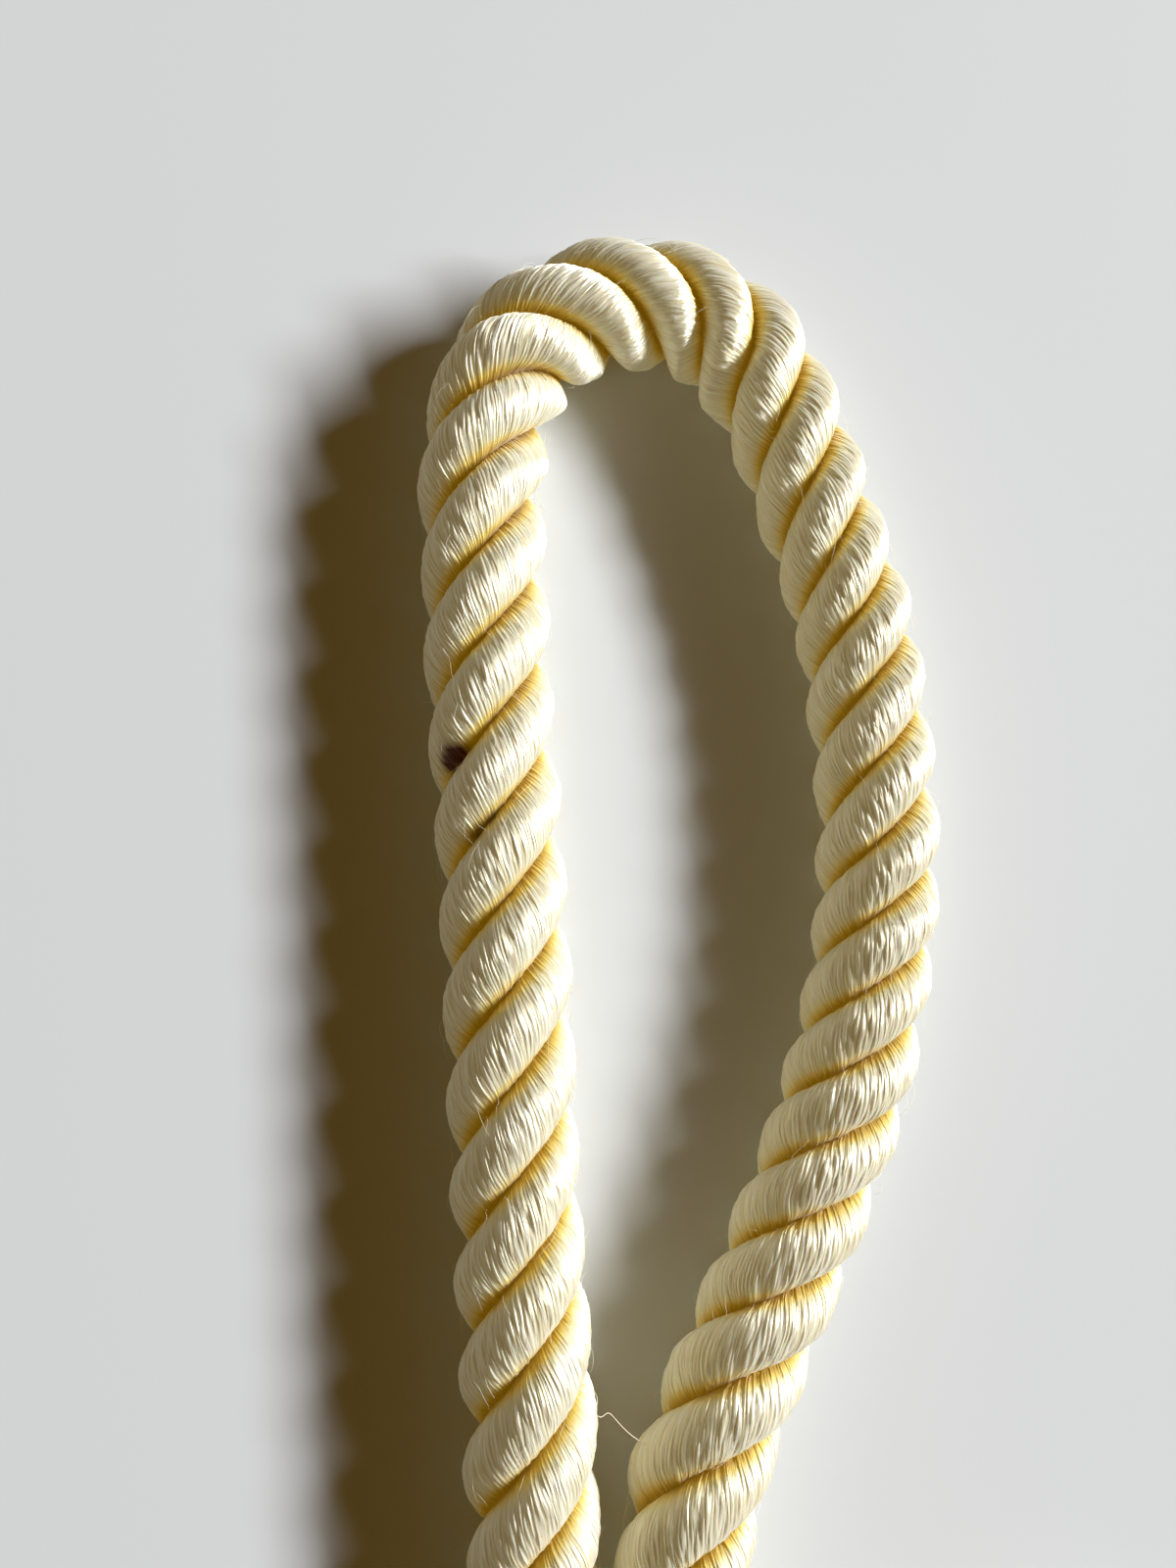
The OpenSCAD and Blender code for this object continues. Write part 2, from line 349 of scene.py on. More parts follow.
    def place(self, s: Array, r: Array, a: Array) -> Array:
        """Points in the cord's own coordinates: middle + r (cos a side + sin a up).

        Args:
            s: Distances along the cord, one for each ring.
            r: Distances from the middle line, a row for each ring.
            a: Angles about the middle line, a row for each ring.

        Returns:
            The points, a row of them for each ring.
        """
        middle, side, up = (table_at(s, self.s, t)[:, None, :]
                            for t in (self.middle, self.side, self.up))
        return middle + r[..., None] * (np.cos(a)[..., None] * side + np.sin(a)[..., None] * up)

    def centre(self, s: Array) -> Array:
        """Points of the smooth middle line at the distances s."""
        return table_at(s, self.s, self.middle)

    def in_bight(self, s: Array, reach: float = 4.0) -> Array:
        """From 0 in the hank to 1 in the bight, over turn_over at each of the bight's ends."""
        start, end = self.first_leg - reach, self.first_leg + self.bight_length + reach
        return ease((s - start) / self.turn_over) * ease((end - s) / self.turn_over)

    def bend(self, s: Array) -> Array:
        """From 0 on a straight stretch of the bight to 1 where its radius is the tightest."""
        curve = np.interp(s, self.s, self.curve)
        return np.clip(self.tightest * curve, 0.0, 1.0) * self.in_bight(s)


# ---- finishes ----


class Shade:
    """A new node material, with short calls for its nodes and links."""

    def __init__(self, name: str) -> None:
        """Makes the material and its shader."""
        self.material = bpy.data.materials.new(name)
        self.material.use_nodes = True
        self.tree = self.material.node_tree
        self.shader = self.tree.nodes["Principled BSDF"]

    def node(self, kind: str, **settings: object) -> bpy.types.Node:
        """A new node of a kind, with its properties set."""
        node = self.tree.nodes.new("ShaderNode" + kind)
        for key, value in settings.items():
            setattr(node, key, value)
        return node

    def feed(self, socket: Socket, value: object) -> None:
        """Joins a socket to the one that is given, or sets it to a number or a colour."""
        if isinstance(value, Socket):
            self.tree.links.new(value, socket)
        else:
            socket.default_value = value

    def set(self, **values: object) -> None:
        """Feeds the shader's own sockets, with underscores for the spaces in their names."""
        for key, value in values.items():
            self.feed(self.shader.inputs[key.replace("_", " ")], value)

    def attribute(self, name: str) -> Socket:
        """The value that a mesh attribute gives each point."""
        return self.node("Attribute", attribute_name=name).outputs["Fac"]

    def math(self, operation: str, a: object, b: object = 0.0, c: object = 0.0) -> Socket:
        """One sum on sockets or numbers, by its name in the Math node."""
        node = self.node("Math", operation=operation)
        for socket, value in zip(node.inputs, (a, b, c)):
            self.feed(socket, value)
        return node.outputs[0]

    def noise(self, scale: Triple, detail: float = 2.0, shift: float = 0.0,
              coordinates: str = "UV") -> Socket:
        """Noise with scale cells to a unit of each coordinate, and detail finer layers."""
        where = self.node("TexCoord").outputs[coordinates]
        mapping = self.node("Mapping")
        mapping.inputs["Location"].default_value = (shift, shift, shift)
        mapping.inputs["Scale"].default_value = scale
        self.feed(mapping.inputs["Vector"], where)
        noise = self.node("TexNoise")
        noise.inputs["Scale"].default_value = 1.0
        noise.inputs["Detail"].default_value = detail
        self.feed(noise.inputs["Vector"], mapping.outputs[0])
        return noise.outputs["Fac"]

    def ramp(self, value: Socket, stops: tuple[tuple[float, Triple], ...]) -> Socket:
        """A colour from a value, between the colours of the stops on either side of it."""
        node = self.node("ValToRGB")
        elements = node.color_ramp.elements
        while len(elements) < len(stops):
            elements.new(0.5)
        for element, (place, colour) in zip(elements, stops):
            element.position = place
            element.color = (*colour, 1.0)
        self.feed(node.inputs["Fac"], value)
        return node.outputs["Color"]

    def blend(self, kind: str, amount: object, a: object, b: object) -> Socket:
        """Two colours blended by an amount, on the Mix node's inputs 0, 6 and 7 for colours."""
        node = self.node("Mix", data_type="RGBA", blend_type=kind)
        for place, value in ((0, amount), (6, a), (7, b)):
            self.feed(node.inputs[place], value)
        return node.outputs[2]

    def bump(self, height: Socket, strength: float, distance: float) -> None:
        """Fine relief on the shader's normal, up to a height in metres."""
        node = self.node("Bump")
        node.inputs["Strength"].default_value = strength
        node.inputs["Distance"].default_value = distance
        self.feed(node.inputs["Height"], height)
        self.set(Normal=node.outputs[0])


@dataclass(frozen=True)
class SatinFinish:
    """Bright filament yarn: ivory on the crests, painted gold shade in the grooves, glossy across
    its yarns.
    """

    pale: Triple = (0.90, 0.895, 0.81)
    shade: Triple = (0.73, 0.66, 0.46)
    # butter, gold and amber are painted shade and painted bounced light, darker and more golden the
    # deeper the groove
    butter: Triple = (1.0, 0.97, 0.76)
    gold: Triple = (0.94, 0.77, 0.21)
    amber: Triple = (0.61, 0.40, 0.02)
    soot: Triple = (0.025, 0.004, 0.001)
    # painted glow: an emission that stands in for light scattered through the yarns, on the crests,
    # deep in the grooves and faintly on the stains
    painted_glow: Triple = (0.092, 0.082, 0.042)
    painted_deep_glow: Triple = (0.080, 0.045, 0.0)
    painted_soot_glow: Triple = (0.012, 0.001, 0.0)
    # filaments round a strand, and their noise cells along the whole cord
    filaments: float = 260.0
    runs: float = 260.0
    # noise cells of the bundles that rise and sink along a yarn, and their relief's height
    bundles: Triple = (85.0, 600.0, 1.0)
    relief: float = 0.17
    # where on the tone shade and pale are, and on the groove's depth butter, gold and amber
    tones: Pair = (0.15, 0.75)
    depths: Triple = (0.28, 0.52, 0.82)
    glow_power: float = 0.8
    glow_end: float = 0.7

    def material(self) -> bpy.types.Material:
        """The material, on the attributes tone, groove and stain and the yarns' own UV map."""
        shade = Shade("satin_yarn")
        hairs = shade.noise((self.filaments, self.runs, 1.0), 3.0)
        streaks = shade.noise((self.filaments / 6, self.runs * 0.55, 1.0), 2.0, 7.3)
        # the tone attribute holds the yarns' random tone and painted shade in the valleys between
        # them
        tone = shade.math("MULTIPLY_ADD", hairs, 0.55, shade.attribute("tone"))
        tone = shade.math("MULTIPLY_ADD", streaks, 0.5, tone)
        tone = shade.math("SUBTRACT", tone, 0.5)
        crest = shade.ramp(tone, tuple(zip(self.tones, (self.shade, self.pale))))
        groove, stain = shade.attribute("groove"), shade.attribute("stain")
        # painted shade: the groove's depth darkens the yarns and turns them gold
        depth = shade.math("MULTIPLY_ADD", hairs, 0.12, groove)
        groove_shade = shade.ramp(depth, ((0.0, (1.0, 1.0, 1.0)),
                                  *zip(self.depths, (self.butter, self.gold, self.amber))))
        colour = shade.blend("MULTIPLY", 1.0, crest, groove_shade)
        colour = shade.blend("MIX", stain, colour, (*self.soot, 1.0))
        # painted glow: an emission that follows the groove's depth and is dimmed where the stains
        # are
        lit = shade.math("POWER", groove, self.glow_power)
        painted_glow = shade.ramp(lit, ((0.0, self.painted_glow), (self.glow_end, self.painted_deep_glow)))
        painted_glow = shade.blend("MIX", stain, painted_glow, (*self.painted_soot_glow, 1.0))
        rough = shade.math("MULTIPLY_ADD", streaks, 0.30, 0.36)
        tangent = shade.node("Tangent", direction_type="UV_MAP", uv_map="UVMap")
        shade.set(Base_Color=colour, Metallic=0.30, Roughness=rough, Anisotropic=1.0, IOR=1.6,
                  Specular_IOR_Level=1.0, Sheen_Weight=0.5, Sheen_Roughness=0.5,
                  Subsurface_Weight=0.35, Subsurface_Radius=(1.0, 0.62, 0.25),
                  Subsurface_Scale=0.6 * MM, Emission_Color=painted_glow, Emission_Strength=1.0,
                  Tangent=tangent.outputs[0])
        waves = shade.noise(self.bundles, 1.0, 2.2)
        relief = shade.math("MULTIPLY_ADD", hairs, 0.12, waves)
        shade.bump(relief, 1.0, self.relief * MM)
        return shade.material


@dataclass(frozen=True)
class CottonFinish:
    """Matt spun cotton, with slubs of lighter and darker fibre along its thread."""

    name: str
    light: Triple
    dark: Triple
    scale: float = 2600.0
    roughness: float = 0.85
    relief: float = 0.04

    def material(self) -> bpy.types.Material:
        """The material, on Object coordinates."""
        shade = Shade(self.name)
        fine = shade.noise((self.scale,) * 3, 4.0, 0.0, "Object")
        broad = shade.noise((self.scale / 12,) * 3, 2.0, 3.1, "Object")
        value = shade.math("MULTIPLY_ADD", broad, 0.5, shade.math("MULTIPLY", fine, 0.6))
        colour = shade.ramp(value, ((0.3, self.dark), (0.7, self.light)))
        shade.set(Base_Color=colour, Roughness=self.roughness, Sheen_Weight=0.25,
                  Sheen_Roughness=0.5, Specular_IOR_Level=0.3)
        shade.bump(fine, 0.6, self.relief * MM)
        return shade.material


# ---- the laid cord ----


@dataclass(frozen=True)
class Section:
    """One strand's section, an ellipse in polar form about the cord's middle line.

    With psi going once round the strand, the distance from the middle line is
    mid + half cos psi |cos psi|^(crest - 1), and the angle about it is wedge sin psi. A crest
    over 1 makes the section's outer side rounder.
    """

    mid: float
    half: float
    wedge: float
    crest: float = 1.2

    def point(self, psi: Array) -> tuple[Array, Array]:
        """The distance and the angle at psi."""
        rise = np.cos(psi) * np.abs(np.cos(psi)) ** (self.crest - 1)
        return self.mid + self.half * rise, self.wedge * np.sin(psi)

    def outward(self, psi: Array) -> tuple[Array, Array]:
        """The outward normal's parts along the distance and across it."""
        r, _ = self.point(psi)
        slope = self.crest * np.abs(np.cos(psi)) ** (self.crest - 1)
        along, across = r * self.wedge * np.cos(psi), self.half * slope * np.sin(psi)
        size = np.hypot(along, across)
        return along / size, across / size

    def even(self, u: Array) -> Array:
        """The psi that lies the share u of the way round the section's outline."""
        psi = np.linspace(0.0, TAU, 4097)
        r, a = self.point(psi)
        x, y = r * np.cos(a), r * np.sin(a)
        way = np.concatenate([[0.0], np.cumsum(np.hypot(np.diff(x), np.diff(y)))])
        return np.interp(np.mod(u, 1.0), way / way[-1], psi)


@dataclass
class LaidCord:
    """The three strands: satin yarns laid round cotton fillers, the strands laid right-handed."""

    route: Route
    lay_length: float = 21.0
    strands: int = 3
    strand_gap: float = 0.1
    heart_r: float = 0.4
    # yarns round a strand, mesh columns in a yarn, and the length of a yarn's own turn
    yarns: int = 48
    yarn_columns: int = 5
    yarn_lay: float = 9.4
    yarn_depth: float = 0.065
    crimp: float = 0.055
    proud: float = 0.018
    # the yarns' random values: spread of width and tone, and shortest and longest waves
    width_spread: float = 0.38
    tone_spread: float = 0.16
    slow_waves: Pair = (9.0, 26.0)
    quick_waves: Pair = (2.6, 5.2)
    # sines of a yarn's wander: size, length, turns round the strand, shift for each strand
    wander: tuple[tuple[float, ...], ...] = (
        (0.0030, 13.0, 2.0, 1.0), (0.0022, 5.7, 5.0, 2.1), (0.0012, 3.1, -9.0, 0.0))
    # distances from the middle line: where the yarns merge, where a groove starts, how deep
    heart_end: float = 1.2
    groove_start: float = 4.5
    groove_depth: float = 1.5
    # how much the cord swells in the bight, with its variation, in a bend and on its inside
    plump: float = 0.03
    plump_vary: float = 0.015
    bend_swell: float = 0.03
    bend_inside: float = 0.11
    cover_t: float = 0.45
    # the fillers' distance from the covers' inside, their lowest height and their mesh
    filler_gap: float = 0.04
    filler_z: float = 0.5
    filler_columns: int = 24
    filler_step: float = 1.4
    # how far two strands' covers press into each other, so that no slot shows between them
    press: float = 0.04
    # spacing of the rings in the bight and in the hank
    bight_step: float = 0.5
    hank_step: float = 1.5
    floor_soft: float = 0.3
    # distance from a cover's end at which an extra ring keeps the end's cap out of the shading
    hold: float = 0.02
    # the lay's extra turn, in degrees, at distances along the cord from the bight's first end:
    # the right leg is twisted tighter than the left one
    extra_turn: tuple[Pair, ...] = (
        (0, 3), (27, 14), (42, 26), (72, 23), (87, 17), (102, 19), (117, 23), (132, 37),
        (147, 56), (162, 93), (177, 108), (192, 137), (207, 159), (222, 176), (246, 181))

    def __post_init__(self) -> None:
        """Works out the sections and the yarns' own places round a strand."""
        mid = (self.route.cord_r + self.heart_r) / 2
        half = (self.route.cord_r - self.heart_r) / 2
        wedge = math.pi / self.strands - math.asin(self.strand_gap / 2 / mid)
        self.outer = Section(mid, half, math.pi / self.strands + self.press / 2 / mid)
        inset = self.cover_t + self.filler_gap
        self.filler = Section(mid, half - inset, wedge - inset / mid)
        self.columns = self.yarns * self.yarn_columns

    def _lay(self, s: Array, strand: int) -> Array:
        """A strand's angle about the middle line: the lay, its extra turn and a slight wander."""
        extra = np.radians(np.interp(s - self.route.first_leg, *np.array(self.extra_turn).T))
        own = math.radians(0.6) * ripple(s, 20 + strand, (31.0, 17.0))
        return TAU * strand / self.strands + TAU * s / self.lay_length + extra + own

    def _settle(self, points: Array) -> Array:
        """Presses the underside onto the floor: z becomes half of z + root(z^2 + soft^2)."""
        z = points[..., 2]
        points[..., 2] = (z + np.sqrt(z * z + self.floor_soft ** 2)) / 2
        return points

    def _yarn_table(self, strand: int) -> dict[str, Array]:
        """Each mesh column's place round the strand, and its yarn's own random values."""
        rng = np.random.default_rng(100 + strand)
        widths = 1.0 + rng.uniform(-self.width_spread, self.width_spread, self.yarns)
        edges = np.concatenate([[0.0], np.cumsum(widths)])
        edges /= edges[-1]
        part = np.arange(self.yarn_columns) / self.yarn_columns
        places = edges[:-1, None] + np.diff(edges)[:, None] * part[None, :]
        crown = np.sqrt(1 - (2 * part - 1) ** 2)
        each = {"tone": rng.uniform(-self.tone_spread, self.tone_spread, self.yarns),
                "lift": rng.uniform(-1.0, 1.0, self.yarns),
                "phase": rng.uniform(0.0, TAU, self.yarns),
                "wave": rng.uniform(*self.slow_waves, self.yarns),
                "crimp": rng.uniform(*self.quick_waves, self.yarns)}
        table = {key: np.repeat(value, self.yarn_columns) for key, value in each.items()}
        return table | {"place": places.reshape(-1), "crown": np.tile(crown, self.yarns)}

    def _cover_grid(self, s: Array, strand: int, crimp: float) -> dict[str, Array]:
        """The yarns' surface.

        A yarn goes once round the strand in yarn_lay, against the strands' lay, and wanders
        a little. It stands proud of the valleys on either side by yarn_depth, and rises and
        sinks by crimp in a wave of its own.

        Args:
            s: Distances along the cord, one for each ring.
            strand: The strand's number, from 0.
            crimp: How far the yarns rise and sink.

        Returns:
            Rings of points, tones and groove depths.
        """
        yarn = self._yarn_table(strand)
        s2 = s[:, None]
        swing = TAU * yarn["place"][None, :]
        wander = sum(size * np.sin(TAU * s2 / wave + turns * swing + shift * strand)
                     for size, wave, turns, shift in self.wander)
        u = yarn["place"][None, :] - s2 / self.yarn_lay + wander
        psi = self.outer.even(u)
        r, a = self.outer.point(psi)
        normal_r, normal_a = self.outer.outward(psi)
        own = np.sin(TAU * s2 / yarn["wave"] + yarn["phase"])
        sunk = self.yarn_depth * (1 - yarn["crown"]) * (1.0 + 0.35 * own)
        wave = np.sin(TAU * s2 / yarn["crimp"] + 3.0 * yarn["phase"])
        proud = self.proud * (yarn["lift"] + own) + crimp * wave
        out = (proud - sunk) * np.clip((r - self.heart_end) / self.groove_depth, 0.0, 1.0)
        turned = self._lay(s, strand)[:, None] + a + out * normal_a / r
        free, bend = self.route.in_bight(s)[:, None], self.route.bend(s)[:, None]
        vary = self.plump_vary * ripple(s, 40 + strand, (29.0, 13.0, 7.7))[:, None]
        plump = 1.0 + free * (self.plump + vary)
        inside = self.bend_inside * np.clip(-np.cos(turned), 0.0, 1.0)
        swell = 1.0 + bend * (self.bend_swell + inside)
        r2 = r * plump * swell + out * normal_r
        points = self._settle(self.route.place(s, r2, turned))
        # the yarn's own random tone and wander, with painted shade darkening the valleys between
        # yarns
        tone = 0.5 + yarn["tone"] + 0.12 * own - 0.22 * (1 - yarn["crown"])
        # the groove's depth, which the material turns into painted shade and painted glow
        groove = np.clip((self.groove_start - r) / self.groove_depth, 0.0, 1.0)
        return {"points": points, "tone": tone, "groove": groove}

    def cover(self, strand: int, part: str, start: float, end: float, step: float) -> Piece:
        """A stretch of one strand in its satin yarns, closed at both ends.

        Args:
            strand: The strand's number, from 0.
            part: The stretch's name.
            start: Where it starts along the cord.
            end: Where it ends.
            step: The spacing of its rings.

        Returns:
            The piece.
        """
        rings = max(4, int(round((end - start) / step)))
        s = np.linspace(start, end, rings + 1)
        s = np.concatenate([[start, start + self.hold], s[1:-1], [end - self.hold, end]])
        grid = self._cover_grid(s, strand, self.crimp if step < 1 else self.crimp / 4)
        width, length = self.columns, self.route.cord_length
        ends = grid["points"][[0, -1]].mean(axis=1)
        first = len(s) * width
        points = np.vstack([grid["points"].reshape(-1, 3), ends])
        walls = grid_quads(len(s), width)
        here = np.arange(width)
        after = (here + 1) % width
        last = width * (len(s) - 1)
        near = np.stack([np.full(width, first), after, here], axis=1)
        far = np.stack([np.full(width, first + 1), last + here, last + after], axis=1)
        tone, groove = (np.append(grid[key].reshape(-1), [0.5, 0.5]) for key in ("tone", "groove"))
        stain = np.clip(sum(
            depth * np.exp(-(np.linalg.norm(points - [x, y + self.route.shift_y, z], axis=1)
                             / reach) ** 2) for x, y, z, reach, depth in STAINS), 0.0, 1.0)
        row, column = np.divmod(np.arange(len(walls)), width)
        u = np.stack([column, column + 1, column + 1, column], axis=1) / width
        v = np.stack([s[row], s[row], s[row + 1], s[row + 1]], axis=1) / length
        round_uv = np.stack([u, v], axis=-1).reshape(-1, 2)
        cap_u = np.stack([here + 0.5, after, here], axis=1).reshape(-1) / width
        cap_uv = np.stack([np.tile(cap_u, 2), np.repeat([start, end], 3 * width) / length], axis=1)
        return build(f"satin_{strand + 1}_{part}", points, [walls, near, far],
                     np.vstack([round_uv, cap_uv]),
                     {"tone": tone, "groove": groove, "stain": stain}, len(walls))

    def fillers(self) -> Piece:
        """The cotton fillers of the three strands, which carry the cord's whole length.

        Their surface swells and sinks six times round the section, in a wave of 9 mm.
        """
        length, columns, step = self.route.cord_length, self.filler_columns, self.filler_step
        s = np.linspace(0.0, length, int(length / step) + 1)
        psi = self.filler.even(np.arange(columns) / columns)[None, :]
        points, faces = [], []
        for strand in range(self.strands):
            r, a = self.filler.point(np.broadcast_to(psi, (len(s), columns)))
            bumpy = 1.0 + 0.02 * np.sin(6 * psi + TAU * s[:, None] / 9.0)
            rows = self._settle(self.route.place(s, r * bumpy,
                                                 self._lay(s, strand)[:, None] + a))
            rows[..., 2] = np.maximum(rows[..., 2], self.filler_z)
            first = strand * rows[..., 0].size
            points.append(rows.reshape(-1, 3))
            faces.append(tube_faces(len(s), columns, first))
        walls, caps = (np.vstack(part) for part in zip(*faces))
        return build("cotton_fillers", np.vstack(points), [walls, caps], flat_from=len(walls))


# dirt in two grooves: x, y and z before the route's shift, reach and depth of colour
STAINS = ((-17.6, 12.4, 6.0, 0.85, 3.0), (-18.0, 11.7, 5.6, 0.7, 1.5), (-16.3, 6.0, 6.6, 0.9, 0.8),
          (-15.2, 7.2, 6.8, 0.8, 0.8))
# how far the fine stretch of the covers reaches from the bight into the hank's neck
NECK_REACH = 8.0
# the drawn-out filament's line, before the route's shift
STRAY = ((-11.2, -36.2, 5.6), (-10.4, -36.7, 6.0), (-10.4, -36.8, 7.5), (-10.9, -37.5, 8.2),
         (-10.4, -38.0, 8.0), (-9.8, -37.6, 7.8), (-9.3, -38.3, 7.5), (-8.7, -39.2, 7.0),
         (-7.9, -40.2, 6.5), (-7.2, -40.9, 6.0), (-6.6, -41.4, 5.6))


# ---- threads, tape and fibres ----


def tubes(name: str, lines: Array, radii: Array, sides: int = 3) -> Piece:
    """Thin closed tubes along lines that all have the same number of points.

    A tube's section is drawn on two directions that are square to its line: the cross product
    of the line's direction with a fixed slanting one, and the third direction.

    Args:
        name: The piece's name.
        lines: The lines' points, one row of points for each tube.
        radii: The radius at each point of each line.
        sides: The number of a tube's sides.

    Returns:
        The piece.
    """
    count, length = lines.shape[:2]
    ahead = unit(np.gradient(lines, axis=1))
    first = unit(np.cross(ahead, [0.31, 0.17, 0.93]))
    second = np.cross(ahead, first)
    a = TAU * np.arange(sides) / sides
    ring = (np.cos(a)[:, None] * first[:, :, None, :] + np.sin(a)[:, None] * second[:, :, None, :])
    points = lines[:, :, None, :] + radii[:, :, None, None] * ring
    starts = (np.arange(count) * length * sides)[:, None, None]
    walls = (grid_quads(length, sides)[None] + starts).reshape(-1, 4)
    turn = np.arange(sides)[None, None]
    near = (turn[..., ::-1] + starts).reshape(-1, sides)
    far = (turn + sides * (length - 1) + starts).reshape(-1, sides)
    return build(name, points.reshape(-1, 3), [walls, near, far])


@dataclass(frozen=True)
class Whipping:
    """Two-ply thread in close turns round the cord, just short of a cut end."""

    route: Route
    thread_d: float = 0.7
    columns: int = 10
    step: float = 0.55
    # length in which the thread's two plies twist once round each other
    twist: float = 2.2

    def piece(self, name: str, x: float) -> Piece:
        """The thread as one helix about the line of the straight end at x.

        The thread's radius swells and sinks twice round its section, turning with the twist.
        """
        route = self.route
        middle_r = route.whip_r - self.thread_d / 2
        top = route.end_y - route.whip_back - self.thread_d / 2 + route.shift_y
        turns = (route.whip_l - self.thread_d) / self.thread_d
        rings = int(turns * TAU * middle_r / self.step)
        turn = np.linspace(0.0, turns * TAU, rings)[:, None]
        phi = TAU * np.arange(self.columns)[None, :] / self.columns
        along = turn * middle_r
        radius = self.thread_d / 2 * (0.90 + 0.10 * np.cos(2 * phi - TAU * along / self.twist))
        from_axis = middle_r + radius * np.cos(phi)
        y = top - self.thread_d * turn / TAU + radius * np.sin(phi)
        points = np.stack([x + from_axis * np.cos(turn), y,
                           route.whip_r + from_axis * np.sin(turn)], axis=-1)
        walls, caps = tube_faces(rings, self.columns)
        return build(name, points.reshape(-1, 3), [walls, caps], flat_from=len(walls))


@dataclass(frozen=True)
class TapeTie:
    """A cotton tape round the hank's waist, one layer and a lap, tacked down by its end."""

    route: Route
    lap: float = 18.0
    # spacing of the mesh along the tape, and the warp ends' and picks' spacing
    step: float = 0.19
    warp: float = 0.75
    pick: float = 0.7
    relief: float = 0.05
    # where the tape starts, and where its second layer has risen onto the first
    start_x: float = -8.0
    risen_x: float = -9.0
    # the stitches' radius and length, and their spacing along and across the tape
    stitch_r: float = 0.13
    stitch_l: float = 0.9
    stitch_gaps: Pair = (2.2, 1.3)
    stitch_rows: int = 2
    stitches_in_row: int = 5

    def _path(self) -> Array:
        """The tape's line across the runs, about their height: way along it, x and z."""
        route = self.route
        r, side = route.cord_r + route.tie_gap + route.tie_t / 2, route.outer_x
        a = np.linspace(math.pi / 2, -math.pi / 2, 40)
        right = np.stack([side + r * np.cos(a), r * np.sin(a)], axis=1)
        t = np.linspace(0.0, 1.0, 20)
        rise = np.stack([-side + (self.risen_x + side) * t, r + route.tie_t * ease(t)], axis=1)
        end = [[self.lap / 2 + route.tie_w / 2, r + route.tie_t]]
        line = np.vstack([[[self.start_x, r]], right, -right, rise[1:], end])
        way = np.concatenate([[0.0], np.cumsum(np.linalg.norm(np.diff(line, axis=0), axis=1))])
        s = np.linspace(0.0, way[-1], int(way[-1] / self.step) + 1)
        return np.stack([s, np.interp(s, way, line[:, 0]), np.interp(s, way, line[:, 1])])

    def tape(self) -> Piece:
        """The tape as one closed strip.

        Its two faces rise and sink with the weave: the product of a sine over the warp ends and
        a sine over the picks, whose phase turns back half way across as in herringbone.
        """
        route = self.route
        s, x, z = self._path()
        ahead = unit(np.stack([np.gradient(x), np.gradient(z)], axis=1))
        outward = np.stack([-ahead[:, 1], ahead[:, 0]], axis=1)
        across = np.linspace(-1.0, 1.0, 61)
        v = np.concatenate([across, across[::-1]])[None, :]
        face = np.repeat([1.0, -1.0], len(across))[None, :]
        rounded = (x - self.lap / 2) / (route.tie_w / 2)
        last = (s > s[-1] - route.tie_w)
        narrow = np.where(last, np.sqrt(np.maximum(1 - np.clip(rounded, 0, 1) ** 2, 0.01)), 1.0)
        y = v * route.tie_w / 2 * narrow[:, None]
        weave = (np.abs(np.sin(math.pi * y / self.warp))
                 * (0.6 + 0.4 * np.cos(TAU * (s[:, None] / (2 * self.pick) + np.abs(y) / 3.0))))
        edge = 0.35 + 0.65 * np.sqrt(1 - np.abs(v) ** 8)
        height = face * (route.tie_t / 2 * edge - self.relief * (1 - weave))
        points = np.stack([x[:, None] + outward[:, :1] * height, y + route.tie_y + route.shift_y,
                           route.tie_r + z[:, None] + outward[:, 1:] * height], axis=-1)
        walls, caps = tube_faces(len(s), v.size)
        return build("tie_tape", points.reshape(-1, 3), [walls, caps], flat_from=len(walls))

    def stitches(self) -> Piece:
        """Small stitches across the lap's end, each an arc that starts and ends in the tape."""
        route, rows, in_row = self.route, self.stitch_rows, self.stitches_in_row
        row, place = np.divmod(np.arange(rows * in_row), in_row)
        t = np.linspace(0.0, 1.0, 9)[None, :]
        along, across = self.stitch_gaps
        x = self.lap / 2 - 1.0 + along * row[:, None] + 0.3 * np.sin(place * 2.3)[:, None] + 0.2 * t
        y = (place[:, None] - (in_row - 1) / 2) * across + self.stitch_l * (t - 0.5)
        z = 2 * route.tie_r + route.tie_t - 0.12 + 0.22 * np.sin(math.pi * t)
        lines = np.stack(np.broadcast_arrays(x, y + route.tie_y + route.shift_y, z), axis=-1)
        return tubes("tie_stitches", lines, np.full(x.shape, self.stitch_r), 6)


